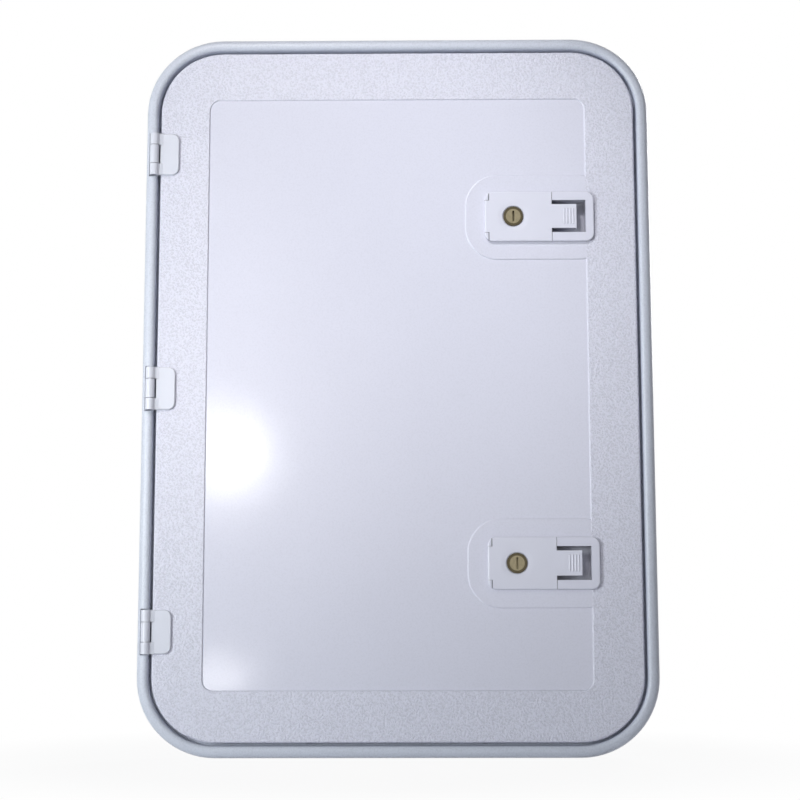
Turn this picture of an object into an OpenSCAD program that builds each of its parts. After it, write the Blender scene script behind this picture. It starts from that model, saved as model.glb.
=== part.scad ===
// Access door for a caravan or camper: a moulded frame that is screwed over a hole in the wall,
// and a hinged hollow leaf inset in it, with three hinges and two flap latches with key locks.
// Millimetres. Z is up, the front faces -Y, and the wall's outer face is the plane Y = 0.
// The origin is on the frame's back face, in the bottom seating band, on the door's centre line.

/* [Outer frame] */
// Width of the frame over its rim
frame_w = 416; // [400:1:480]
// Height of the frame over its rim
frame_h = 590; // [570:1:680]
// Outer corner radius of the frame
frame_r = 63; // [60:1:80]
// Width of the raised rim
rim_w = 9.5; // [9.5:0.5:10.5]
// Height of the rim's crest over the wall
rim_h = 16; // [15.5:0.5:18]
// Radius of the rim's outer shoulder
rim_shoulder_r = 6; // [5:0.5:6]
// Radius along the rim's inner edge
rim_edge_r = 3; // [1.6:0.2:3]
// Wall thickness of the hollow rim
rim_t = 2.8; // [2.4:0.2:3.2]
// Width of the band that lies on the wall, from the edge to the hole
band_w = 22; // [21:1:30]
// Thickness of the rebate floor
floor_t = 3.5; // [3:0.5:4]
// Thickness of the neck that lines the hole
neck_t = 2.5; // [2:0.5:4]
// Depth of the neck behind the wall's face
neck_d = 28; // [24:1:45]

/* [Fixing holes] */
// Diameter of the screw holes
screw_d = 4.2; // [3:0.1:5]
// Diameter of the screw heads' countersinks
screw_head_d = 8; // [6:0.5:8.5]
// Distance of the screws from the frame's edge
screw_in = 14; // [13.5:0.5:14.5]
// Height between the inner side screws
screw_inner_pitch = 150; // [120:5:170]
// Height between the outer side screws
screw_outer_pitch = 440; // [430:5:450]
// Width between the top screws and between the bottom screws
screw_end_pitch = 140; // [80:5:220]

/* [Seal] */
// Width of the rubber seal
seal_w = 5; // [4:0.5:5.5]
// Free space between the seal's crown and the closed leaf
seal_clear = 0.3; // [0.2:0.1:1]

/* [Leaf] */
// Gap all round between the rim and the leaf
leaf_gap = 2.5; // [2:0.25:3]
// Height of the leaf's face over the wall
face_h = 14; // [13:0.5:15]
// Thickness of the leaf's front skin
skin_t = 3; // [2.5:0.5:3.5]
// Depth of the leaf's turned edge
edge_d = 8.5; // [7:0.5:9]
// Thickness of the leaf's turned edge
edge_t = 3; // [2.5:0.5:3]
// Radius of the leaf's front edge
edge_r = 1.6; // [1:0.2:2]
// Whole thickness of the leaf
leaf_t = 28; // [26:1:32]
// Thickness of the inner liner
liner_t = 2.5; // [2:0.5:3]
// Space between the liner's sides and the neck
neck_gap = 5; // [5:0.5:6]
// Radius along the liner's back edge
liner_edge_r = 5; // [3:0.5:6]
// Width of the flat border round the liner's own panel
liner_border_w = 30; // [20:1:40]

/* [Face panel] */
// Width of the flat border round the sunk panel
border_w = 40; // [36:1:44]
// Depth of the sunk panel
panel_step = 0.9; // [0.6:0.1:1.2]
// Run of the sloping step round the panel
panel_slope = 0.9; // [0.4:0.1:1.5]
// Corner radius of the sunk panel
panel_r = 9; // [6:1:14]
// Height of the raised pads that carry the latches
pad_h = 72; // [66:1:84]
// How far a pad reaches in from the border
pad_reach = 100; // [96:1:120]
// Corner radius of a pad
pad_r = 27; // [16:1:32]

/* [Hinges] */
// Height between neighbouring hinges
hinge_pitch = 196; // [180:1:204]
// Height of one hinge
hinge_h = 35; // [33:0.5:44]
// Width of a hinge leaf on the door
hinge_leaf_w = 15.6; // [13:0.2:20]
// Thickness of a hinge leaf on the door
hinge_leaf_t = 2.2; // [1.8:0.2:2.6]
// Corner radius of a hinge leaf
hinge_leaf_r = 6; // [3:0.5:7]
// Radius along a hinge leaf's upper edge
hinge_edge_r = 1.2; // [0.6:0.1:1.4]
// Diameter of the hinge knuckles
knuckle_d = 7.6; // [7:0.2:7.8]
// Length of the middle knuckle, which stands on the hinge's base
base_knuckle_l = 15.4; // [10:0.2:18]
// Space between neighbouring knuckles
knuckle_gap = 0.4; // [0.3:0.1:0.8]
// Space at each end of a hinge in the rim's pocket
pocket_end_gap = 0.9; // [0.5:0.1:1.2]
// Distance of the hinge pins from the frame's edge
pin_in = 7.2; // [7.1:0.1:7.4]
// Diameter of the hinge pins
pin_d = 3.2; // [2.5:0.1:3.6]

/* [Latches] */
// Height between the two latches
latch_pitch = 284; // [260:1:300]
// Distance from the frame's edge to the latch
latch_in = 46; // [46:1:50]
// Length of a latch
latch_w = 90; // [88:1:94]
// Height of a latch
latch_h = 42; // [40:1:46]
// Corner radius of a latch
latch_r = 7; // [5:0.5:9]
// Radius along a latch's upper edge
latch_edge_r = 1.2; // [0.8:0.1:1.4]
// How far a latch stands over the leaf's face
latch_proud = 3; // [2.8:0.1:3.4]
// Thickness of the pull flap
flap_t = 2; // [1.6:0.1:2]
// Distance from the latch's end to the seam beside the flap's plate
seam_in = 55.5; // [54:0.5:57]
// Length of the flap's tongue
tongue_l = 20; // [16:0.5:22]
// Height of the flap's tongue
tongue_h = 20; // [16:0.5:22]
// Length of the grip ribs across the tongue
grip_l = 13; // [10:0.5:15]
// Distance between the grip ribs
grip_pitch = 2.45; // [2.2:0.05:2.8]
// Length of the finger recess
recess_w = 27.5; // [26:0.5:28]
// Height of the finger recess
recess_h = 27; // [26:0.5:29]
// Depth of the finger recess under the leaf's face
recess_d = 9.5; // [7:0.5:11]
// Wall thickness of the latch's housing
housing_t = 1.5; // [1.2:0.1:2]
// How far the latch laps over the edge of the skin's cut-out
latch_lap = 2.5; // [2:0.25:3]
// Diameter of the pin that the flap swings on
flap_pin_d = 1.5; // [1.2:0.1:1.6]

/* [Locks] */
// Distance from the latch's end to the lock
lock_in = 23.5; // [22:0.5:25]
// Diameter of the lock's face
lock_face_d = 16.4; // [15:0.2:17]
// Bevel round the lock's face
lock_bevel = 0.5; // [0.3:0.1:0.8]
// Diameter of the shallow dish in the flap round the lock
dish_d = 26; // [20:0.5:28]
// Diameter of the lock's body
lock_body_d = 14.4; // [13.6:0.2:14.6]
// Diameter of the turning plug
plug_d = 12; // [9:0.2:12.2]
// Length of the lock's body behind the flap
lock_l = 15; // [12:0.5:16]
// Width of the keyway
keyway_w = 1.6; // [1.2:0.1:2]
// Reach of the cam behind the plug
cam_reach = 11; // [8:0.5:11.5]

/* [Slam bolts] */
// Height of a bolt
bolt_h = 16; // [12:0.5:18]
// Thickness of a bolt
bolt_t = 7; // [6:0.2:7.2]
// Space between a bolt and its guide
bolt_clear = 0.2; // [0.1:0.1:0.4]

/* [Hidden] */
$fn = 64;
fit = 0.05;
cut = 1;

// The shapes below are drawn lying down: X across, Y up the door, Z out from the wall.
origin_in = 10;
mid_y = frame_h / 2 - origin_in;
left_x = -frame_w / 2;
right_x = frame_w / 2;

// Inset of each ring from the frame's outer edge
leaf_in = rim_w + leaf_gap;
neck_in = band_w + neck_t;
liner_in = neck_in + neck_gap;
panel_in = leaf_in + border_w;
seal_in = neck_in - seal_w - 1;

liner_panel_in = liner_in + liner_border_w;
liner_panel_t = 0.8;

// Heights of the leaf's parts over the wall
skin_back = face_h - skin_t;
edge_back = face_h - edge_d;
liner_back = face_h - leaf_t;
liner_flange_t = 3;
liner_flange_in = leaf_in + edge_t + 0.4;
seal_top = skin_back - liner_flange_t - seal_clear;

// Hinge pins
pin_x = left_x + pin_in;
pin_z = rim_h;
pocket_r = knuckle_d / 2 + 0.8;
socket_t = 0.5;
leaf_knuckle_l = (hinge_h - base_knuckle_l) / 2 - knuckle_gap;

// Latches, each drawn from its left end on its own centre line
latch_x = right_x - latch_in - latch_w;
latch_top = face_h + latch_proud;
base_t = latch_proud - flap_t - 0.2;
flap_back = latch_top - flap_t;
flap_roll_r = 1.4;
flap_pin_x = flap_roll_r;
flap_pin_z = latch_top - flap_roll_r;
ear_y = latch_h / 2 - latch_r - 0.3;
seam_gap = 0.35;
ear_gap = 1;
recess_floor = face_h - recess_d;
cell_x0 = 6;
cell_x1 = seam_in - 3;
tub_x0 = cell_x0 - housing_t;
tub_x1 = seam_in + recess_w + housing_t;
tub_back = recess_floor - housing_t;
lip_h = 3;
lip_t = 2;
boss_d = lock_body_d + 4;
grip_d = 1.4;
grip_proud = 0.45;
dish_t = 0.35;
lock_seat = latch_top - 1;
plug_face = latch_top + 0.3;
cam_t = 1.6;
cam_w = 7;

// Slam bolts, drawn back flush with the liner's side, and their slots in the neck
keeper_h = bolt_h + 4;
keeper_t = bolt_t + 2.2;
bolt_z = -(keeper_t / 2 + 0.6);
bolt_tip_x = right_x - liner_in - 0.3;
guide_t = 2;
guide_x0 = latch_x + latch_w - latch_lap + 0.5;
guide_x1 = right_x - liner_in - liner_edge_r;

// Stands the lying door up, with its front to -Y.
module upright() {
    rotate([90, 0, 0]) children();
}

module ring_place() {
    translate([0, mid_y, 0]) children();
}

// A rectangle with round corners, on its centre.
module round_rect(w, h, r) {
    square([w, h - 2 * r], center = true);
    square([w - 2 * r, h], center = true);
    for (x = [-1, 1], y = [-1, 1])
        translate([x * (w / 2 - r), y * (h / 2 - r)]) circle(r = r);
}

// The frame's outline moved in by a distance, as a flat shape.
module outline_in(inset) {
    round_rect(frame_w - 2 * inset, frame_h - 2 * inset, frame_r - inset);
}

// Sweeps a profile round a rectangle with round corners. The profile's X is the distance in from
// the edge and its Y is the height over the wall.
module sweep_round(w, h, r) {
    for (side = [0, 1]) rotate([0, 0, side * 180]) {
        translate([w / 2, -(h / 2 - r), 0]) rotate([90, 0, 180])
            linear_extrude(height = h - 2 * r) children();
        translate([w / 2 - r, h / 2, 0]) rotate([90, 0, 270])
            linear_extrude(height = w - 2 * r) children();
        translate([w / 2 - r, h / 2 - r, 0])
            rotate_extrude(angle = 90) translate([r, 0]) mirror([1, 0]) children();
        translate([-(w / 2 - r), h / 2 - r, 0]) rotate([0, 0, 90])
            rotate_extrude(angle = 90) translate([r, 0]) mirror([1, 0]) children();
    }
}

// A slab with round corners whose sides slope in by a run from the wide face to the narrow one.
module sloped_slab(w, h, r, z_wide, z_narrow, run) {
    low = min(z_wide, z_narrow);
    high = max(z_wide, z_narrow);
    translate([0, 0, low]) linear_extrude(height = high - low)
        round_rect(w - 2 * run, h - 2 * run, r - run);
    sweep_round(w, h, r) polygon([[0, z_wide], [run, z_wide], [run, z_narrow]]);
}

// A slab with round corners and a round upper edge.
module soft_slab(w, h, r, z, t, edge) {
    translate([0, 0, z]) linear_extrude(height = t)
        round_rect(w - 2 * edge, h - 2 * edge, r - edge);
    sweep_round(w, h, r) {
        translate([0, z]) square([edge, t - edge]);
        intersection() {
            translate([edge, z + t - edge]) circle(r = edge);
            translate([0, z + t - edge]) square([edge, edge]);
        }
    }
}

// Cross-section of the hollow rim, round outside and with a small round on its inner edge.
module rim_section() {
    difference() {
        union() {
            square([rim_w, rim_h - rim_shoulder_r]);
            intersection() {
                translate([rim_shoulder_r, rim_h - rim_shoulder_r]) circle(r = rim_shoulder_r);
                square([rim_shoulder_r, rim_h]);
            }
            translate([rim_shoulder_r, 0])
                square([rim_w - rim_edge_r - rim_shoulder_r, rim_h]);
            translate([rim_shoulder_r, 0])
                square([rim_w - rim_shoulder_r, rim_h - rim_edge_r]);
            translate([rim_w - rim_edge_r, rim_h - rim_edge_r]) circle(r = rim_edge_r);
        }
        translate([rim_t, -cut]) square([rim_w - 2 * rim_t, rim_h - rim_shoulder_r - 1 + cut]);
    }
}

// Cross-section of the whole frame: rim, rebate floor and neck.
module frame_section() {
    rim_section();
    translate([rim_w - rim_t, 0]) square([neck_in - rim_w + rim_t, floor_t]);
    translate([band_w, -neck_d]) square([neck_t, neck_d + floor_t]);
}

module screw_cut(x, y) {
    translate([x, y, -cut]) cylinder(d = screw_d, h = floor_t + 2 * cut);
    sink = (screw_head_d - screw_d) / 2;
    translate([x, y, floor_t - sink]) cylinder(d1 = screw_d, d2 = screw_head_d, h = sink);
    translate([x, y, floor_t]) cylinder(d = screw_head_d, h = cut);
}

module all_screw_cuts() {
    side_x = frame_w / 2 - screw_in;
    end_y = frame_h / 2 - screw_in;
    for (x = [-side_x, side_x], y = [-1, 1]) {
        screw_cut(x, y * screw_inner_pitch / 2);
        screw_cut(x, y * screw_outer_pitch / 2);
    }
    for (x = [-1, 1], y = [-end_y, end_y]) screw_cut(x * screw_end_pitch / 2, y);
}

// A round bar along Y, centred on the hinge line or the flap's pin.
module bar_y(d, l) {
    rotate([90, 0, 0]) cylinder(d = d, h = l, center = true);
}

module outer_frame() {
    pocket_l = hinge_h + 2 * pocket_end_gap;
    color("#dfe0ea") upright() ring_place() difference() {
        sweep_round(frame_w, frame_h, frame_r) frame_section();
        for (n = [-1:1]) translate([pin_x, n * hinge_pitch, pin_z]) {
            bar_y(2 * pocket_r, pocket_l);
            hinge_foot();
        }
        all_screw_cuts();
        for (n = [-1, 1]) translate([right_x - neck_in - cut, n * latch_pitch / 2, bolt_z])
            translate([0, -keeper_h / 2, -keeper_t / 2])
            cube([neck_t + 2 * cut, keeper_h, keeper_t]);
    }
}

// The foot of a hinge's base, welded into a socket in the rim under the pocket.
module hinge_foot() {
    foot_w = knuckle_d / 2 + rim_w - pin_in;
    translate([-knuckle_d / 2, -base_knuckle_l / 2, -pocket_r - socket_t])
        cube([foot_w, base_knuckle_l, pocket_r + socket_t]);
}

module hinge_base(n) {
    color("#dddfe9") upright() ring_place() translate([pin_x, n * hinge_pitch, pin_z])
        difference() {
            union() {
                bar_y(knuckle_d, base_knuckle_l);
                hinge_foot();
            }
            bar_y(pin_d + 2 * fit, base_knuckle_l + cut);
        }
}

module frame_seal() {
    bulb_r = seal_w / 2;
    color("#2a2b30") upright() ring_place() sweep_round(frame_w, frame_h, frame_r)
        translate([seal_in, 0]) intersection() {
            union() {
                square([seal_w, seal_top - bulb_r]);
                translate([bulb_r, seal_top - bulb_r]) circle(r = bulb_r);
            }
            translate([0, floor_t]) square([seal_w, seal_top]);
        }
}

module hinge_pin(n) {
    color("#b9bcc4") upright() ring_place() translate([pin_x, n * hinge_pitch, pin_z])
        bar_y(pin_d, hinge_h - 0.6);
}

// Cross-section of the skin's turned edge, from the leaf's own edge.
module edge_section() {
    translate([0, edge_back]) square([edge_t, edge_d - edge_r]);
    translate([edge_r, face_h - edge_r]) circle(r = edge_r);
    translate([edge_r, edge_back]) square([edge_t - edge_r, edge_d]);
}

module front_skin() {
    leaf_w = frame_w - 2 * leaf_in;
    leaf_h = frame_h - 2 * leaf_in;
    leaf_r = frame_r - leaf_in;
    panel_w = frame_w - 2 * panel_in;
    panel_h = frame_h - 2 * panel_in;
    pad_w = pad_reach + border_w / 2;
    color("#e6e7f1") upright() ring_place() difference() {
        union() {
            difference() {
                union() {
                    sweep_round(leaf_w, leaf_h, leaf_r) edge_section();
                    translate([0, 0, skin_back]) linear_extrude(height = skin_t)
                        outline_in(leaf_in + edge_t);
                }
                sloped_slab(panel_w, panel_h, panel_r, face_h, face_h - panel_step, panel_slope);
            }
            for (n = [-1, 1])
                translate([panel_w / 2 - pad_reach + pad_w / 2, n * latch_pitch / 2, 0])
                sloped_slab(pad_w, pad_h, pad_r, face_h - panel_step, face_h, panel_slope);
        }
        for (n = [-1, 1]) translate([latch_x, n * latch_pitch / 2, 0]) latch_hole();
    }
}

// The cut-out in the skin that the latch drops into, all but covered by the latch's flange.
module latch_hole() {
    translate([latch_w / 2, 0, skin_back - cut]) linear_extrude(height = skin_t + 2 * cut)
        round_rect(latch_w - 2 * latch_lap, latch_h - 2 * latch_lap, latch_r - latch_lap);
}

// Cross-section of the liner's side and its glued flange, from the flange's own edge.
module liner_section() {
    side_in = liner_in - liner_flange_in;
    translate([0, skin_back - liner_flange_t])
        square([side_in + liner_t, liner_flange_t]);
    translate([side_in, liner_back + liner_edge_r])
        square([liner_t, skin_back - liner_back - liner_edge_r]);
    difference() {
        translate([side_in + liner_edge_r, liner_back + liner_edge_r]) circle(r = liner_edge_r);
        translate([side_in + liner_edge_r, liner_back + liner_edge_r])
            circle(r = liner_edge_r - liner_t);
        translate([side_in - cut, liner_back + liner_edge_r])
            square([2 * liner_edge_r + 2 * cut, liner_edge_r + cut]);
        translate([side_in + liner_edge_r, liner_back - cut])
            square([liner_edge_r + cut, 2 * liner_edge_r + cut]);
    }
}

module inner_liner() {
    w = frame_w - 2 * liner_flange_in;
    h = frame_h - 2 * liner_flange_in;
    color("#dcdde4") upright() ring_place() difference() {
        union() {
            sweep_round(w, h, frame_r - liner_flange_in) liner_section();
            translate([0, 0, liner_back]) linear_extrude(height = liner_t)
                outline_in(liner_in + liner_edge_r);
        }
        sloped_slab(frame_w - 2 * liner_panel_in, frame_h - 2 * liner_panel_in, panel_r,
                    liner_back - cut, liner_back + liner_panel_t, cut + liner_panel_t);
        for (n = [-1, 1])
            translate([right_x - liner_in - liner_t - cut, n * latch_pitch / 2, bolt_z])
            translate([0, -bolt_h / 2 - 0.8, -bolt_t / 2 - 0.8])
            cube([liner_t + 2 * cut, bolt_h + 1.6, bolt_t + 1.6]);
    }
}

// The hinge's leaf on the door: a plate with a sloping web and two knuckles.
module hinge_leaf(n) {
    plate_x = left_x + leaf_in - pin_x;
    plate_z = face_h - pin_z;
    color("#dfe1ec") upright() ring_place() translate([pin_x, n * hinge_pitch, pin_z])
        difference() {
            union() {
                intersection() {
                    translate([plate_x, 0, 0])
                        soft_slab(2 * hinge_leaf_w, hinge_h, hinge_leaf_r, plate_z, hinge_leaf_t,
                                  hinge_edge_r);
                    translate([plate_x, -hinge_h / 2 - cut, plate_z - cut])
                        cube([hinge_leaf_w + cut, hinge_h + 2 * cut, hinge_leaf_t + 2 * cut]);
                }
                for (y = [-1, 1]) translate([0, y * (hinge_h - leaf_knuckle_l) / 2, 0]) {
                    bar_y(knuckle_d, leaf_knuckle_l);
                    rotate([90, 0, 0]) linear_extrude(height = leaf_knuckle_l, center = true)
                        polygon([
                            [0, plate_z], [0, knuckle_d / 2 - 1], [1.6, knuckle_d / 2 - 0.6],
                            [plate_x - 0.6, plate_z + hinge_leaf_t + 0.8],
                            [plate_x + 2.4, plate_z + hinge_leaf_t], [plate_x + 2.4, plate_z]
                        ]);
                }
            }
            bar_y(pin_d + 2 * fit, hinge_h + cut);
        }
}

module latch_place(n) {
    ring_place() translate([latch_x, n * latch_pitch / 2, 0]) children();
}

// The latch's outline between two distances from its left end.
module latch_outline(x0, x1) {
    intersection() {
        translate([latch_w / 2, 0]) round_rect(latch_w, latch_h, latch_r);
        translate([x0, -latch_h / 2 - cut]) square([x1 - x0, latch_h + 2 * cut]);
    }
}

// A slab of the latch's outline between two distances, with the latch's round upper edge.
module latch_slab(x0, x1, z, t) {
    intersection() {
        translate([latch_w / 2, 0, 0])
            soft_slab(latch_w, latch_h, latch_r, z, t, latch_edge_r);
        translate([x0, -latch_h / 2 - cut, z - cut])
            cube([x1 - x0, latch_h + 2 * cut, t + 2 * cut]);
    }
}

module latch_housing(n) {
    tub_h = recess_h + 2 * housing_t;
    roll_w = flap_pin_x + flap_roll_r + seam_gap;
    color("#e2e4ee") upright() latch_place(n) difference() {
        union() {
            translate([0, 0, face_h]) linear_extrude(height = base_t)
                latch_outline(0, seam_in + cut);
            latch_slab(seam_in, latch_w + cut, face_h, latch_proud);
            latch_slab(-cut, roll_w, face_h, latch_proud);
            translate([tub_x0, -tub_h / 2, tub_back])
                cube([tub_x1 - tub_x0, tub_h, face_h - tub_back]);
        }
        translate([-cut, -ear_y, face_h - cut]) cube([roll_w + cut, 2 * ear_y, latch_proud + 2 * cut]);
        translate([cell_x0, -recess_h / 2, tub_back - cut])
            cube([cell_x1 - cell_x0, recess_h, face_h - tub_back + base_t + 2 * cut]);
        translate([seam_in, -recess_h / 2, recess_floor])
            cube([recess_w, recess_h, recess_d + latch_proud + cut]);
        translate([flap_pin_x, 0, flap_pin_z]) bar_y(flap_pin_d + 2 * fit, 2 * ear_y + 3);
    }
}

module pull_flap(n) {
    sink_d = lock_face_d + 1.4;
    plate_end = seam_in - seam_gap;
    roll_w = flap_pin_x + flap_roll_r;
    color("#e8e9f3") upright() latch_place(n) difference() {
        union() {
            latch_slab(roll_w + ear_gap, plate_end, flap_back, flap_t);
            translate([flap_pin_x, -ear_y + seam_gap, flap_back])
                cube([roll_w, 2 * ear_y - 2 * seam_gap, flap_t]);
            translate([flap_pin_x, 0, flap_pin_z]) bar_y(2 * flap_roll_r, 2 * ear_y - 2 * seam_gap);
            translate([plate_end - cut, -tongue_h / 2, flap_back])
                cube([seam_in + tongue_l - plate_end + cut, tongue_h, flap_t]);
            translate([seam_in + tongue_l - lip_t, -tongue_h / 2, flap_back - lip_h])
                cube([lip_t, tongue_h, lip_h + flap_t]);
            translate([lock_in, 0, flap_back - 4]) cylinder(d = boss_d, h = 4 + flap_t / 2);
            for (i = [0:3])
                translate([seam_in + tongue_l - grip_pitch * (i + 1.1), 0,
                           latch_top + grip_proud - grip_d / 2])
                bar_y(grip_d, grip_l);
        }
        translate([lock_in, 0, flap_back - 5]) cylinder(d = lock_body_d + 2 * fit, h = 10);
        translate([lock_in, 0, lock_seat]) cylinder(d = sink_d, h = 2);
        translate([lock_in, 0, latch_top - dish_t])
            cylinder(d1 = sink_d, d2 = 2 * dish_d - sink_d, h = 2 * dish_t);
        translate([flap_pin_x, 0, flap_pin_z]) bar_y(flap_pin_d + 2 * fit, latch_h);
    }
}

module flap_pin(n) {
    color("#aeb1b8") upright() latch_place(n) translate([flap_pin_x, 0, flap_pin_z])
        bar_y(flap_pin_d, 2 * ear_y + 2.6);
}

module lock_barrel(n) {
    color("#b59a62") upright() latch_place(n) translate([lock_in, 0, 0]) difference() {
        union() {
            translate([0, 0, lock_seat])
                cylinder(d = lock_face_d, h = plug_face - lock_bevel - lock_seat);
            translate([0, 0, plug_face - lock_bevel])
                cylinder(d1 = lock_face_d, d2 = lock_face_d - 2 * lock_bevel, h = lock_bevel);
            translate([0, 0, latch_top - lock_l]) cylinder(d = lock_body_d, h = lock_l - 0.5);
        }
        translate([0, 0, latch_top - lock_l - cut])
            cylinder(d = plug_d + 2 * fit, h = lock_l + 3);
    }
}

module lock_plug(n) {
    keyway_h = plug_d - 3;
    color("#c0a56c") upright() latch_place(n) translate([lock_in, 0, 0]) difference() {
        translate([0, 0, latch_top - lock_l - 0.4])
            cylinder(d = plug_d, h = lock_l + 0.4 + plug_face - latch_top);
        translate([-keyway_w / 2, -keyway_h / 2, plug_face - 6])
            cube([keyway_w, keyway_h, 6 + cut]);
    }
}

module lock_cam(n) {
    color("#a8abb2") upright() latch_place(n)
        translate([lock_in, 0, latch_top - lock_l - 0.4 - cam_t]) {
            cylinder(d = plug_d - 2, h = cam_t);
            translate([0, -cam_w / 2, 0]) cube([cam_reach - cam_w / 2, cam_w, cam_t]);
            translate([cam_reach - cam_w / 2, 0, 0]) cylinder(d = cam_w, h = cam_t);
        }
}

module latch_bolt(n) {
    start_x = guide_x0 + 1;
    nose = bolt_t * 0.6;
    color("#d7d9dd") upright() ring_place() translate([0, n * latch_pitch / 2, bolt_z])
        rotate([90, 0, 0]) linear_extrude(height = bolt_h, center = true)
        polygon([
            [start_x, -bolt_t / 2], [bolt_tip_x - nose, -bolt_t / 2], [bolt_tip_x, nose - bolt_t / 2],
            [bolt_tip_x, bolt_t / 2], [start_x, bolt_t / 2]
        ]);
}

// The guide that hangs from the back of the skin and carries the bolt.
module bolt_guide(n) {
    low = bolt_z - bolt_t / 2 - bolt_clear - guide_t;
    h = bolt_h + 2 * bolt_clear;
    color("#c9cbd4") upright() ring_place() translate([0, n * latch_pitch / 2, 0]) difference() {
        translate([guide_x0, -h / 2 - guide_t, low])
            cube([guide_x1 - guide_x0, h + 2 * guide_t, skin_back - low]);
        translate([guide_x0 - cut, -h / 2, low + guide_t])
            cube([guide_x1 - guide_x0 + 2 * cut, h, bolt_t + 2 * bolt_clear]);
    }
}

outer_frame();
frame_seal();
hinge_base(1);  // upper_hinge_base
hinge_base(0);  // middle_hinge_base
hinge_base(-1);  // lower_hinge_base
hinge_pin(1);  // upper_hinge_pin
hinge_pin(0);  // middle_hinge_pin
hinge_pin(-1);  // lower_hinge_pin
front_skin();
inner_liner();
hinge_leaf(1);  // upper_hinge_leaf
hinge_leaf(0);  // middle_hinge_leaf
hinge_leaf(-1);  // lower_hinge_leaf
latch_housing(1);  // upper_latch_housing
latch_housing(-1);  // lower_latch_housing
pull_flap(1);  // upper_pull_flap
pull_flap(-1);  // lower_pull_flap
flap_pin(1);  // upper_flap_pin
flap_pin(-1);  // lower_flap_pin
lock_barrel(1);  // upper_lock_barrel
lock_barrel(-1);  // lower_lock_barrel
lock_plug(1);  // upper_lock_plug
lock_plug(-1);  // lower_lock_plug
lock_cam(1);  // upper_lock_cam
lock_cam(-1);  // lower_lock_cam
latch_bolt(1);  // upper_latch_bolt
latch_bolt(-1);  // lower_latch_bolt
bolt_guide(1);  // upper_bolt_guide
bolt_guide(-1);  // lower_bolt_guide
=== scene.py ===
import math

import bpy
from mathutils import Matrix, Vector


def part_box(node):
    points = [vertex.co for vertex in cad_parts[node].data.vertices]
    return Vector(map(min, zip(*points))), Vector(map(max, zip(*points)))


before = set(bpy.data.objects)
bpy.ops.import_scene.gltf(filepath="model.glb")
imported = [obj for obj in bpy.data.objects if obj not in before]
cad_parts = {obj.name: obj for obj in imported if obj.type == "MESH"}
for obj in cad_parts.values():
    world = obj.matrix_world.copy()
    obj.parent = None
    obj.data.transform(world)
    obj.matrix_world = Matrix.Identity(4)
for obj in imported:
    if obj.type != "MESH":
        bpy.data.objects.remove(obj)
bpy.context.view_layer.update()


# Outer frame. One white ABS moulding: a hollow rounded rim, the rebate floor and the neck that
# lines the wall's hole. The mould is spark-eroded, which leaves a fine, even grain on the rim.
def add_group(name, inputs, outputs):
    group = bpy.data.node_groups.new(name, "ShaderNodeTree")
    for title, kind, value in inputs:
        socket = group.interface.new_socket(title, in_out="INPUT", socket_type="NodeSocket" + kind)
        if value is not None:
            socket.default_value = value
    for title, kind in outputs:
        group.interface.new_socket(title, in_out="OUTPUT", socket_type="NodeSocket" + kind)
    ends = group.nodes.new("NodeGroupInput"), group.nodes.new("NodeGroupOutput")
    return group, ends[0].outputs, ends[1].inputs


def add_node(tree, kind, values=(), links=(), **settings):
    node = tree.nodes.new("ShaderNode" + kind)
    for setting, value in settings.items():
        setattr(node, setting, value)
    for socket, value in dict(values).items():
        node.inputs[socket].default_value = value
    for socket, source in dict(links).items():
        tree.links.new(source, node.inputs[socket])
    return node


def add_math(tree, operation, a, b=None, clamp=False):
    node = tree.nodes.new("ShaderNodeMath")
    node.operation, node.use_clamp = operation, clamp
    for place, part in enumerate((a, b)):
        if isinstance(part, (int, float)):
            node.inputs[place].default_value = part
        elif part is not None:
            tree.links.new(part, node.inputs[place])
    return node.outputs[0]


def use_group(tree, group, values=(), links=()):
    return add_node(tree, "Group", values, links, node_tree=group)


def spark_grain_group():
    # Tiny pits of two sizes, as spark erosion leaves them. Size is one pit's width in metres.
    coarse_share, fine_share, finer_by = 0.7, 0.3, 2.3
    pit_fall_off = 2.0
    tree, given, wanted = add_group(
        "spark_grain",
        [("Position", "Vector", None), ("Size", "Float", 0.0009)],
        [("Height", "Float"), ("Pits", "Float")])
    scale = add_math(tree, "DIVIDE", 1.0, given["Size"])
    coarse = add_node(tree, "TexNoise", {"Detail": 1.5, "Roughness": 0.55},
                      {"Vector": given["Position"], "Scale": scale})
    fine = add_node(tree, "TexNoise", {"Detail": 0.5},
                    {"Vector": given["Position"],
                     "Scale": add_math(tree, "MULTIPLY", scale, finer_by)})
    both = add_math(tree, "ADD", add_math(tree, "MULTIPLY", coarse.outputs["Fac"], coarse_share),
                    add_math(tree, "MULTIPLY", fine.outputs["Fac"], fine_share))
    steep = add_node(tree, "MapRange", {"From Min": 0.36, "From Max": 0.62}, {"Value": both},
                     interpolation_type="SMOOTHSTEP")
    tree.links.new(steep.outputs["Result"], wanted["Height"])
    pits = add_math(tree, "SUBTRACT", 1.0, steep.outputs["Result"])
    tree.links.new(add_math(tree, "POWER", pits, pit_fall_off), wanted["Pits"])
    return tree


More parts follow.
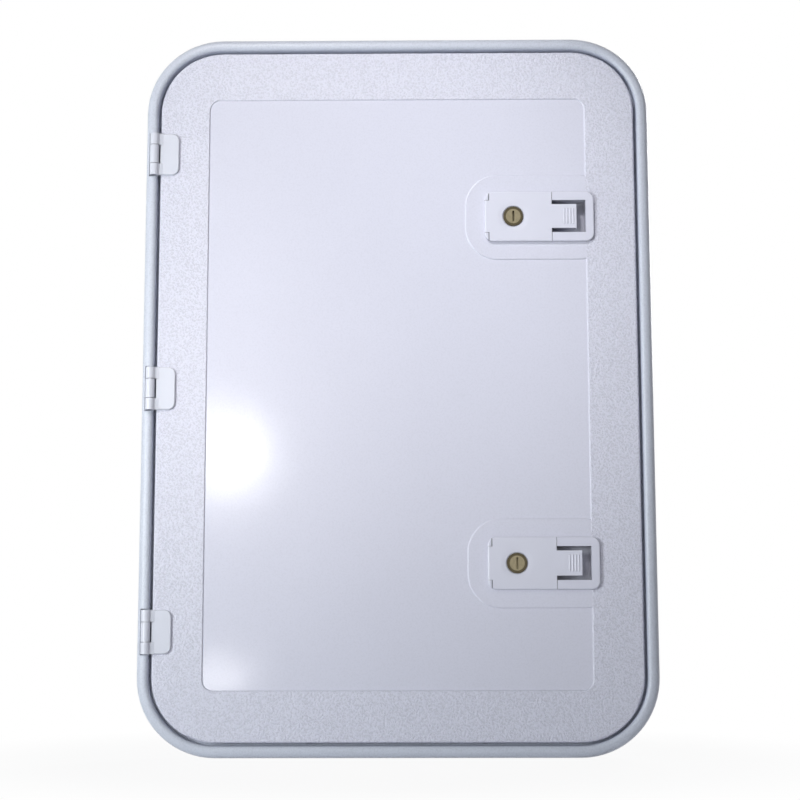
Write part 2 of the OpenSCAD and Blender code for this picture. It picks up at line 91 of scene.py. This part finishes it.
def tone_drift_group():
    # The faint clouds of tone that every large moulding has, from how the plastic flowed, and
    # painted shade in the grain's pits by Pit Shade.
    middle_of_noise = 0.5
    tree, given, wanted = add_group(
        "tone_drift",
        [("Position", "Vector", None), ("Color", "Color", None), ("Size", "Float", 0.08),
         ("Amount", "Float", 0.03), ("Pits", "Float", 0.0), ("Pit Shade", "Float", 0.0)],
        [("Color", "Color")])
    clouds = add_node(tree, "TexNoise", {"Detail": 3.0, "Roughness": 0.5},
                      {"Vector": given["Position"],
                       "Scale": add_math(tree, "DIVIDE", 1.0, given["Size"])})
    swing = add_math(tree, "SUBTRACT", clouds.outputs["Fac"], middle_of_noise)
    swing = add_math(tree, "MULTIPLY", swing, given["Amount"])
    shade = add_math(tree, "SUBTRACT", add_math(tree, "ADD", 1.0, swing),
                     add_math(tree, "MULTIPLY", given["Pits"], given["Pit Shade"]))
    mixed = add_node(tree, "VectorMath", {}, {0: given["Color"], "Scale": shade},
                     operation="SCALE")
    tree.links.new(mixed.outputs["Vector"], wanted["Color"])
    return tree


SPARK_GRAIN = spark_grain_group()
TONE_DRIFT = tone_drift_group()
EDGE_SAMPLES = 6


def add_material(name, roughness, metallic=0.0):
    material = bpy.data.materials.new(name)
    material.use_nodes = True
    tree = material.node_tree
    shader = tree.nodes["Principled BSDF"]
    shader.inputs["Roughness"].default_value = roughness
    shader.inputs["Metallic"].default_value = metallic
    place = add_node(tree, "TexCoord").outputs["Object"]
    return material, tree, shader, place


def moulded_plastic(name, color, roughness, pit_width, pit_depth, edge_radius, pit_shade=0.0):
    # Plastic out of a mould, with its edges a little broken.
    material, tree, shader, place = add_material(name, roughness)
    spark = use_group(tree, SPARK_GRAIN, {"Size": pit_width}, {"Position": place})
    drift = use_group(tree, TONE_DRIFT, {"Color": color, "Pit Shade": pit_shade},
                      {"Position": place, "Pits": spark.outputs["Pits"]})
    tree.links.new(drift.outputs["Color"], shader.inputs["Base Color"])
    edge = add_node(tree, "Bevel", {"Radius": edge_radius}, samples=EDGE_SAMPLES)
    bump = add_node(tree, "Bump", {"Distance": pit_depth, "Strength": 1.0},
                    {"Height": spark.outputs["Height"], "Normal": edge.outputs["Normal"]})
    tree.links.new(bump.outputs["Normal"], shader.inputs["Normal"])
    return material


def finish_piece(name, material):
    for material_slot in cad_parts[name].material_slots:
        material_slot.material = material


frame_white = (0.67, 0.705, 0.8, 1)
frame_plastic = moulded_plastic("frame_abs_white", frame_white, roughness=0.35,
                                pit_width=0.0014, pit_depth=0.00006, edge_radius=0.0004,
                                pit_shade=0.08)
finish_piece("outer_frame", frame_plastic)


# Seal. A black rubber bulb, extruded and laid in the rebate, where the closed leaf all but
# touches it. Rubber is dull, with a fine orange-peel skin.
seal_black = (0.028, 0.029, 0.034, 1)
peel_size, peel_depth = 0.0011, 0.00004

rubber, tree, shader, place = add_material("seal_rubber_black", roughness=0.62)
peel = use_group(tree, SPARK_GRAIN, {"Size": peel_size}, {"Position": place})
# The peel's pits get painted shade.
drift = use_group(tree, TONE_DRIFT,
                  {"Color": seal_black, "Size": 0.02, "Amount": 0.5, "Pit Shade": 0.2},
                  {"Position": place, "Pits": peel.outputs["Pits"]})
tree.links.new(drift.outputs["Color"], shader.inputs["Base Color"])
bump = add_node(tree, "Bump", {"Distance": peel_depth, "Strength": 1.0},
                {"Height": peel.outputs["Height"]})
tree.links.new(bump.outputs["Normal"], shader.inputs["Normal"])
finish_piece("frame_seal", rubber)


# Hinge pins. Zinc-plated steel rod, cut to length and pressed in between the knuckles. It keeps
# the fine lines of the drawing die.
def brushed_group():
    # Fine scratches. Stretch is small along the scratches, and Size is their width in metres.
    line_share, patch_share = 0.6, 0.4
    tree, given, wanted = add_group(
        "brushed_metal",
        [("Position", "Vector", None), ("Stretch", "Vector", (1, 1, 0.04)),
         ("Size", "Float", 0.0003)],
        [("Height", "Float"), ("Shine", "Float")])
    long = add_node(tree, "VectorMath", {}, {0: given["Position"], 1: given["Stretch"]},
                    operation="MULTIPLY")
    lines = add_node(tree, "TexNoise", {"Detail": 3.0, "Roughness": 0.6},
                     {"Vector": long.outputs["Vector"],
                      "Scale": add_math(tree, "DIVIDE", 1.0, given["Size"])})
    tree.links.new(lines.outputs["Fac"], wanted["Height"])
    patches = add_node(tree, "TexNoise", {"Scale": 400.0, "Detail": 2.0},
                       {"Vector": given["Position"]})
    shine = add_math(tree, "ADD", add_math(tree, "MULTIPLY", lines.outputs["Fac"], line_share),
                     add_math(tree, "MULTIPLY", patches.outputs["Fac"], patch_share))
    tree.links.new(shine, wanted["Shine"])
    return tree


BRUSHED = brushed_group()
SCRATCH_DEPTH = 0.00001


def brushed_metal(name, dark, light, smooth, rough, stretch, size):
    material, tree, shader, place = add_material(name, rough, metallic=1.0)
    lines = use_group(tree, BRUSHED, {"Stretch": stretch, "Size": size}, {"Position": place})
    tone = add_node(tree, "Mix", {"A": dark, "B": light}, {"Factor": lines.outputs["Shine"]},
                    data_type="RGBA")
    tree.links.new(tone.outputs["Result"], shader.inputs["Base Color"])
    gloss = add_node(tree, "MapRange", {"From Min": 0.3, "From Max": 0.7, "To Min": smooth,
                                        "To Max": rough}, {"Value": lines.outputs["Shine"]})
    tree.links.new(gloss.outputs["Result"], shader.inputs["Roughness"])
    bump = add_node(tree, "Bump", {"Distance": SCRATCH_DEPTH, "Strength": 1.0},
                    {"Height": lines.outputs["Height"]})
    tree.links.new(bump.outputs["Normal"], shader.inputs["Normal"])
    return material


zinc = brushed_metal("pin_steel_zinc", dark=(0.42, 0.43, 0.45, 1), light=(0.62, 0.63, 0.66, 1),
                     smooth=0.28, rough=0.42, stretch=(1, 1, 0.04), size=0.00025)
for height in ("upper", "middle", "lower"):
    finish_piece(height + "_hinge_pin", zinc)


# Front skin. The leaf's face, white ABS moulded with a turned edge and slightly wavy all over. The
# border has a stronger spark grain than the frame, while the sunk panel and the latch pads come
# off a smoother part of the mould.
skin_white = (0.765, 0.768, 0.882, 1)
panel_centre = 0.285
panel_half_w, panel_half_h = 0.156, 0.243
panel_corner = 0.009
step_start, step_end = 0.0009, 0.0001
grain_size, grain_depth = 0.0016, 0.00026
panel_grain, panel_spots = 0.05, 0.2
usual_pits, skin_pit_shade = 0.23, 0.16
panel_smooth, panel_rough, border_rough = 0.1, 0.14, 0.3
wave_height, skin_edge_radius = 0.0003, 0.0004

skin, tree, shader, place = add_material("skin_abs_white", border_rough)
across = add_node(tree, "SeparateXYZ", {}, {0: place})


def over_corner(distance, half):
    return add_math(tree, "MAXIMUM", add_math(tree, "SUBTRACT", distance, half - panel_corner), 0.0)


side = over_corner(add_math(tree, "ABSOLUTE", across.outputs["X"]), panel_half_w)
rise = add_math(tree, "ABSOLUTE", add_math(tree, "SUBTRACT", across.outputs["Z"], panel_centre))
rise = over_corner(rise, panel_half_h)
reach = add_math(tree, "SQRT", add_math(tree, "ADD", add_math(tree, "MULTIPLY", side, side),
                                        add_math(tree, "MULTIPLY", rise, rise)))
border = add_node(tree, "MapRange", {"From Min": panel_corner - step_start,
                                     "From Max": panel_corner - step_end}, {"Value": reach},
                  interpolation_type="SMOOTHSTEP").outputs["Result"]
spark = use_group(tree, SPARK_GRAIN, {"Size": grain_size}, {"Position": place})
grained = add_node(tree, "MapRange", {"To Min": panel_grain, "To Max": 1.0}, {"Value": border})
spotted = add_node(tree, "MapRange", {"To Min": panel_spots, "To Max": 1.0}, {"Value": border})
# Painted shade and light in the grain: the pits go darker and the tops between them lighter.
pits = add_math(tree, "MULTIPLY", add_math(tree, "SUBTRACT", spark.outputs["Pits"], usual_pits),
                spotted.outputs["Result"])
drift = use_group(tree, TONE_DRIFT,
                  {"Color": skin_white, "Size": 0.09, "Amount": 0.035, "Pit Shade": skin_pit_shade},
                  {"Position": place, "Pits": pits})
tree.links.new(drift.outputs["Color"], shader.inputs["Base Color"])
cloudy = add_node(tree, "TexNoise", {"Scale": 45.0, "Detail": 2.0}, {"Vector": place})
panel_gloss = add_node(tree, "MapRange", {"To Min": panel_smooth, "To Max": panel_rough},
                       {"Value": cloudy.outputs["Fac"]})
gloss = add_node(tree, "Mix", {"B": border_rough},
                 {"Factor": border, "A": panel_gloss.outputs["Result"]})
tree.links.new(gloss.outputs["Result"], shader.inputs["Roughness"])
waves = add_node(tree, "TexNoise", {"Scale": 16.0, "Detail": 2.0, "Roughness": 0.4},
                 {"Vector": place})
edge = add_node(tree, "Bevel", {"Radius": skin_edge_radius}, samples=EDGE_SAMPLES)
wavy = add_node(tree, "Bump", {"Distance": wave_height, "Strength": 1.0},
                {"Height": waves.outputs["Fac"], "Normal": edge.outputs["Normal"]})
bump = add_node(tree, "Bump", {"Distance": grain_depth, "Strength": 1.0},
                {"Height": add_math(tree, "MULTIPLY", spark.outputs["Height"],
                                    grained.outputs["Result"]),
                 "Normal": wavy.outputs["Normal"]})
tree.links.new(bump.outputs["Normal"], shader.inputs["Normal"])
finish_piece("front_skin", skin)


# Inner liner. The pan on the leaf's back, vacuum-formed from white ABS sheet and glued to the
# skin by its flange. Formed sheet is smoother than a moulding and a little less blue.
def corner_shade_group():
    # Painted shade: narrow gaps and inside corners are darkened by how little of the room they see.
    tree, given, wanted = add_group(
        "corner_shade",
        [("Color", "Color", None), ("Reach", "Float", 0.01), ("Amount", "Float", 0.5)],
        [("Color", "Color")])
    near = add_node(tree, "AmbientOcclusion", {},
                    {"Color": given["Color"], "Distance": given["Reach"]}, samples=8)
    mixed = add_node(tree, "Mix", {}, {"Factor": given["Amount"], "A": given["Color"],
                                       "B": near.outputs["Color"]}, data_type="RGBA")
    tree.links.new(mixed.outputs["Result"], wanted["Color"])
    return tree


CORNER_SHADE = corner_shade_group()


# Paints shade into a material's colour in its gaps and inside corners.
def shade_corners(material, amount=0.4):
    tree = material.node_tree
    base = tree.nodes["Principled BSDF"].inputs["Base Color"]
    shaded = use_group(tree, CORNER_SHADE, {"Amount": amount}, {"Color": base.links[0].from_socket})
    tree.links.new(shaded.outputs["Color"], base)


liner_plastic = moulded_plastic("liner_abs_white", (0.75, 0.76, 0.82, 1), roughness=0.36,
                                pit_width=0.0016, pit_depth=0.00003, edge_radius=0.0004,
                                pit_shade=0.02)
shade_corners(liner_plastic)
finish_piece("inner_liner", liner_plastic)


# Hinge leaves and bases. Injection-moulded white plastic with a smooth face. The leaves are fixed
# to the skin from behind, and the bases are welded into sockets in the frame's rim.
hinge_plastic = moulded_plastic("hinge_abs_white", (0.765, 0.78, 0.868, 1), roughness=0.3,
                                pit_width=0.0014, pit_depth=0.00001, edge_radius=0.0005)
shade_corners(hinge_plastic)
for height in ("upper", "middle", "lower"):
    finish_piece(height + "_hinge_leaf", hinge_plastic)
    finish_piece(height + "_hinge_base", hinge_plastic)


# Latch housings and pull flaps. Smooth injection-moulded white plastic. The housing is clipped
# into the skin, and the flap rolls on a thin steel pin at its left end.
latch_plastic = moulded_plastic("latch_abs_white", (0.77, 0.775, 0.885, 1), roughness=0.28,
                                pit_width=0.0013, pit_depth=0.00001, edge_radius=0.0004)
# The housing's finger recess and slots are darkened strongly: painted shade.
shade_corners(latch_plastic, amount=0.8)
flap_plastic = moulded_plastic("flap_abs_white", (0.785, 0.79, 0.895, 1), roughness=0.26,
                               pit_width=0.0013, pit_depth=0.00001, edge_radius=0.0004)
shade_corners(flap_plastic)
for height in ("upper", "lower"):
    finish_piece(height + "_latch_housing", latch_plastic)
    finish_piece(height + "_pull_flap", flap_plastic)
    finish_piece(height + "_flap_pin", zinc)


# Locks. The barrel and the plug are turned brass, dulled by handling, with the keyway cut through
# the plug's face; the cam on the plug's back is pressed from plated steel.
ring_brass = brushed_metal("lock_brass_ring", dark=(0.045, 0.038, 0.024, 1),
                           light=(0.14, 0.118, 0.075, 1), smooth=0.28, rough=0.4,
                           stretch=(1, 0.3, 1), size=0.0003)
face_brass = brushed_metal("plug_brass_face", dark=(0.14, 0.12, 0.075, 1),
                           light=(0.36, 0.315, 0.21, 1), smooth=0.3, rough=0.44,
                           stretch=(1, 0.3, 0.08), size=0.0003)
for height in ("upper", "lower"):
    finish_piece(height + "_lock_barrel", ring_brass)
    finish_piece(height + "_lock_plug", face_brass)
    finish_piece(height + "_lock_cam", zinc)


# Slam bolts and their guides. Moulded in light grey acetal, a waxy, slippery plastic. Each guide is
# fixed inside the leaf and carries its bolt, whose nose shows in the leaf's side.
acetal = moulded_plastic("bolt_acetal_grey", (0.58, 0.59, 0.61, 1), roughness=0.34,
                         pit_width=0.001, pit_depth=0.00001, edge_radius=0.0003, pit_shade=0.02)
shade_corners(acetal)
for height in ("upper", "lower"):
    finish_piece(height + "_latch_bolt", acetal)
    finish_piece(height + "_bolt_guide", acetal)


# Floor. Plain pale ground just under the frame. To the camera and in gloss it is mostly white,
# fully so away from the door, and near the door it keeps a faint shadow.
floor_size, floor_drop = 8, 0.0002
fade_start, fade_end = 0.22, 0.45
white_near_door = 0.92

floor_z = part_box("outer_frame")[0].z - floor_drop
bpy.ops.mesh.primitive_plane_add(size=floor_size, location=(0, 0, floor_z))
floor = bpy.context.object
floor.name = "floor"
ground = bpy.data.materials.new("floor_pale")
ground.use_nodes = True
tree = ground.node_tree
tree.nodes["Principled BSDF"].inputs["Base Color"].default_value = (0.8, 0.8, 0.82, 1)
tree.nodes["Principled BSDF"].inputs["Roughness"].default_value = 0.9
clean = add_node(tree, "Emission", {"Color": (1, 1, 1, 1), "Strength": 1.0})


def seen_directly(tree):
    ray = add_node(tree, "LightPath")
    seen = add_math(tree, "ADD", ray.outputs["Is Camera Ray"], ray.outputs["Is Glossy Ray"])
    return add_math(tree, "ADD", seen, ray.outputs["Is Transmission Ray"], clamp=True)


away = add_node(tree, "VectorMath", {}, {0: add_node(tree, "TexCoord").outputs["Object"]},
                operation="LENGTH")
fade = add_node(tree, "MapRange", {"From Min": fade_start, "From Max": fade_end,
                                   "To Min": white_near_door, "To Max": 1.0},
                {"Value": away.outputs["Value"]}, interpolation_type="SMOOTHSTEP")
mix = add_node(tree, "MixShader", {}, {
    "Fac": add_math(tree, "MULTIPLY", seen_directly(tree), fade.outputs["Result"]),
    1: tree.nodes["Principled BSDF"].outputs["BSDF"], 2: clean.outputs["Emission"]})
tree.links.new(mix.outputs["Shader"], tree.nodes["Material Output"].inputs["Surface"])
floor.data.materials.append(ground)


# World. Even, slightly blue daylight from a white room; white where it is looked at directly.
world = bpy.data.worlds.new("studio")
bpy.context.scene.world = world
world.use_nodes = True
tree = world.node_tree
room = tree.nodes["Background"]
room.inputs["Color"].default_value = (0.89, 0.94, 1, 1)
room.inputs["Strength"].default_value = 0.109
white = add_node(tree, "Background", {"Color": (1, 1, 1, 1), "Strength": 1.0})
mix = add_node(tree, "MixShader", {}, {
    "Fac": seen_directly(tree), 1: room.outputs["Background"], 2: white.outputs["Background"]})
tree.links.new(mix.outputs["Shader"], tree.nodes["World Output"].inputs["Surface"])


# Lamps. Two small ones are what the polished panel mirrors: the bright spot below the middle
# hinge and the faint one near the bottom. The others give the room's soft light, which comes
# from high and low on the left, and one stands behind the door for the back.
def hang_lamp(data, place, aim, power, color):
    data.energy, data.color = power, color
    lamp = bpy.data.objects.new(data.name, data)
    bpy.context.scene.collection.objects.link(lamp)
    lamp.location = place
    lamp.rotation_mode = "QUATERNION"
    lamp.rotation_quaternion = (Vector(aim) - Vector(place)).to_track_quat("-Z", "Y")


def add_lamp(name, place, aim, width, height, power, color):
    data = bpy.data.lights.new(name, "AREA")
    data.shape, data.size, data.size_y = "RECTANGLE", width, height
    hang_lamp(data, place, aim, power, color)


def add_spot(name, place, aim, angle, power, color):
    soft_edge, bulb_radius = 0.8, 0.1
    data = bpy.data.lights.new(name, "SPOT")
    data.spot_size, data.spot_blend = math.radians(angle), soft_edge
    data.shadow_soft_size = bulb_radius
    hang_lamp(data, place, aim, power, color)


camera_place = Vector((0.0146, -1.337, 0.092))


def mirrored_place(spot, times):
    # Where a lamp stands for the camera to see it mirrored at that spot of the panel.
    ray = spot - camera_place
    return spot + Vector((ray.x, -ray.y, ray.z)) * times


bright_spot = Vector((-0.14, -0.0131, 0.231))
low_spot = Vector((-0.141, -0.0131, 0.053))
high_left = (-0.35, -1.2, 1.4)
add_lamp("ceiling_lamp", mirrored_place(bright_spot, times=1.0), bright_spot,
         width=0.088, height=0.068, power=0.75, color=(1, 1, 1))
add_lamp("low_lamp", mirrored_place(low_spot, times=0.6), low_spot,
         width=0.05, height=0.028, power=0.11, color=(1, 0.98, 1))
add_lamp("low_left_lamp", (-0.9, -0.9, 0.25), aim=(-0.1, 0, 0.2),
         width=0.4, height=0.4, power=8.3, color=(0.94, 0.99, 1))
add_spot("left_spot", high_left, aim=(-0.165, 0, 0.235),
         angle=10, power=30, color=(1, 0.94, 0.89))
add_spot("right_spot", high_left, aim=(0.12, 0, 0.43),
         angle=15, power=18.5, color=(0.89, 0.94, 1))
add_spot("upper_spot", high_left, aim=(0, 0, 0.45),
         angle=22, power=38, color=(1, 0.95, 0.94))
add_lamp("back_lamp", (0.7, 1.3, 0.9), aim=(0, 0, 0.3),
         width=0.8, height=0.8, power=14, color=(0.97, 0.98, 1))


# Camera. As the photograph was taken: from in front and low, tilted up by about eight degrees.
pitch, yaw, roll = math.radians(7.88), math.radians(-0.54), math.radians(-0.10)
lens, sensor_width = 74.05, 36
nearest, farthest = 0.01, 50
ahead = Vector((math.sin(yaw) * math.cos(pitch), math.cos(yaw) * math.cos(pitch), math.sin(pitch)))
right = Vector((math.cos(yaw), -math.sin(yaw), 0))
up = right.cross(ahead)
level_right = right * math.cos(roll) + up * math.sin(roll)
level_up = up * math.cos(roll) - right * math.sin(roll)
camera_data = bpy.data.cameras.new("camera")
camera_data.lens, camera_data.sensor_width = lens, sensor_width
camera_data.clip_start, camera_data.clip_end = nearest, farthest
camera = bpy.data.objects.new("camera", camera_data)
bpy.context.scene.collection.objects.link(camera)
turn = Matrix((level_right, level_up, -ahead)).transposed()
camera.matrix_world = Matrix.Translation(camera_place) @ turn.to_4x4()
bpy.context.scene.camera = camera
bpy.context.scene.view_settings.view_transform = "Standard"
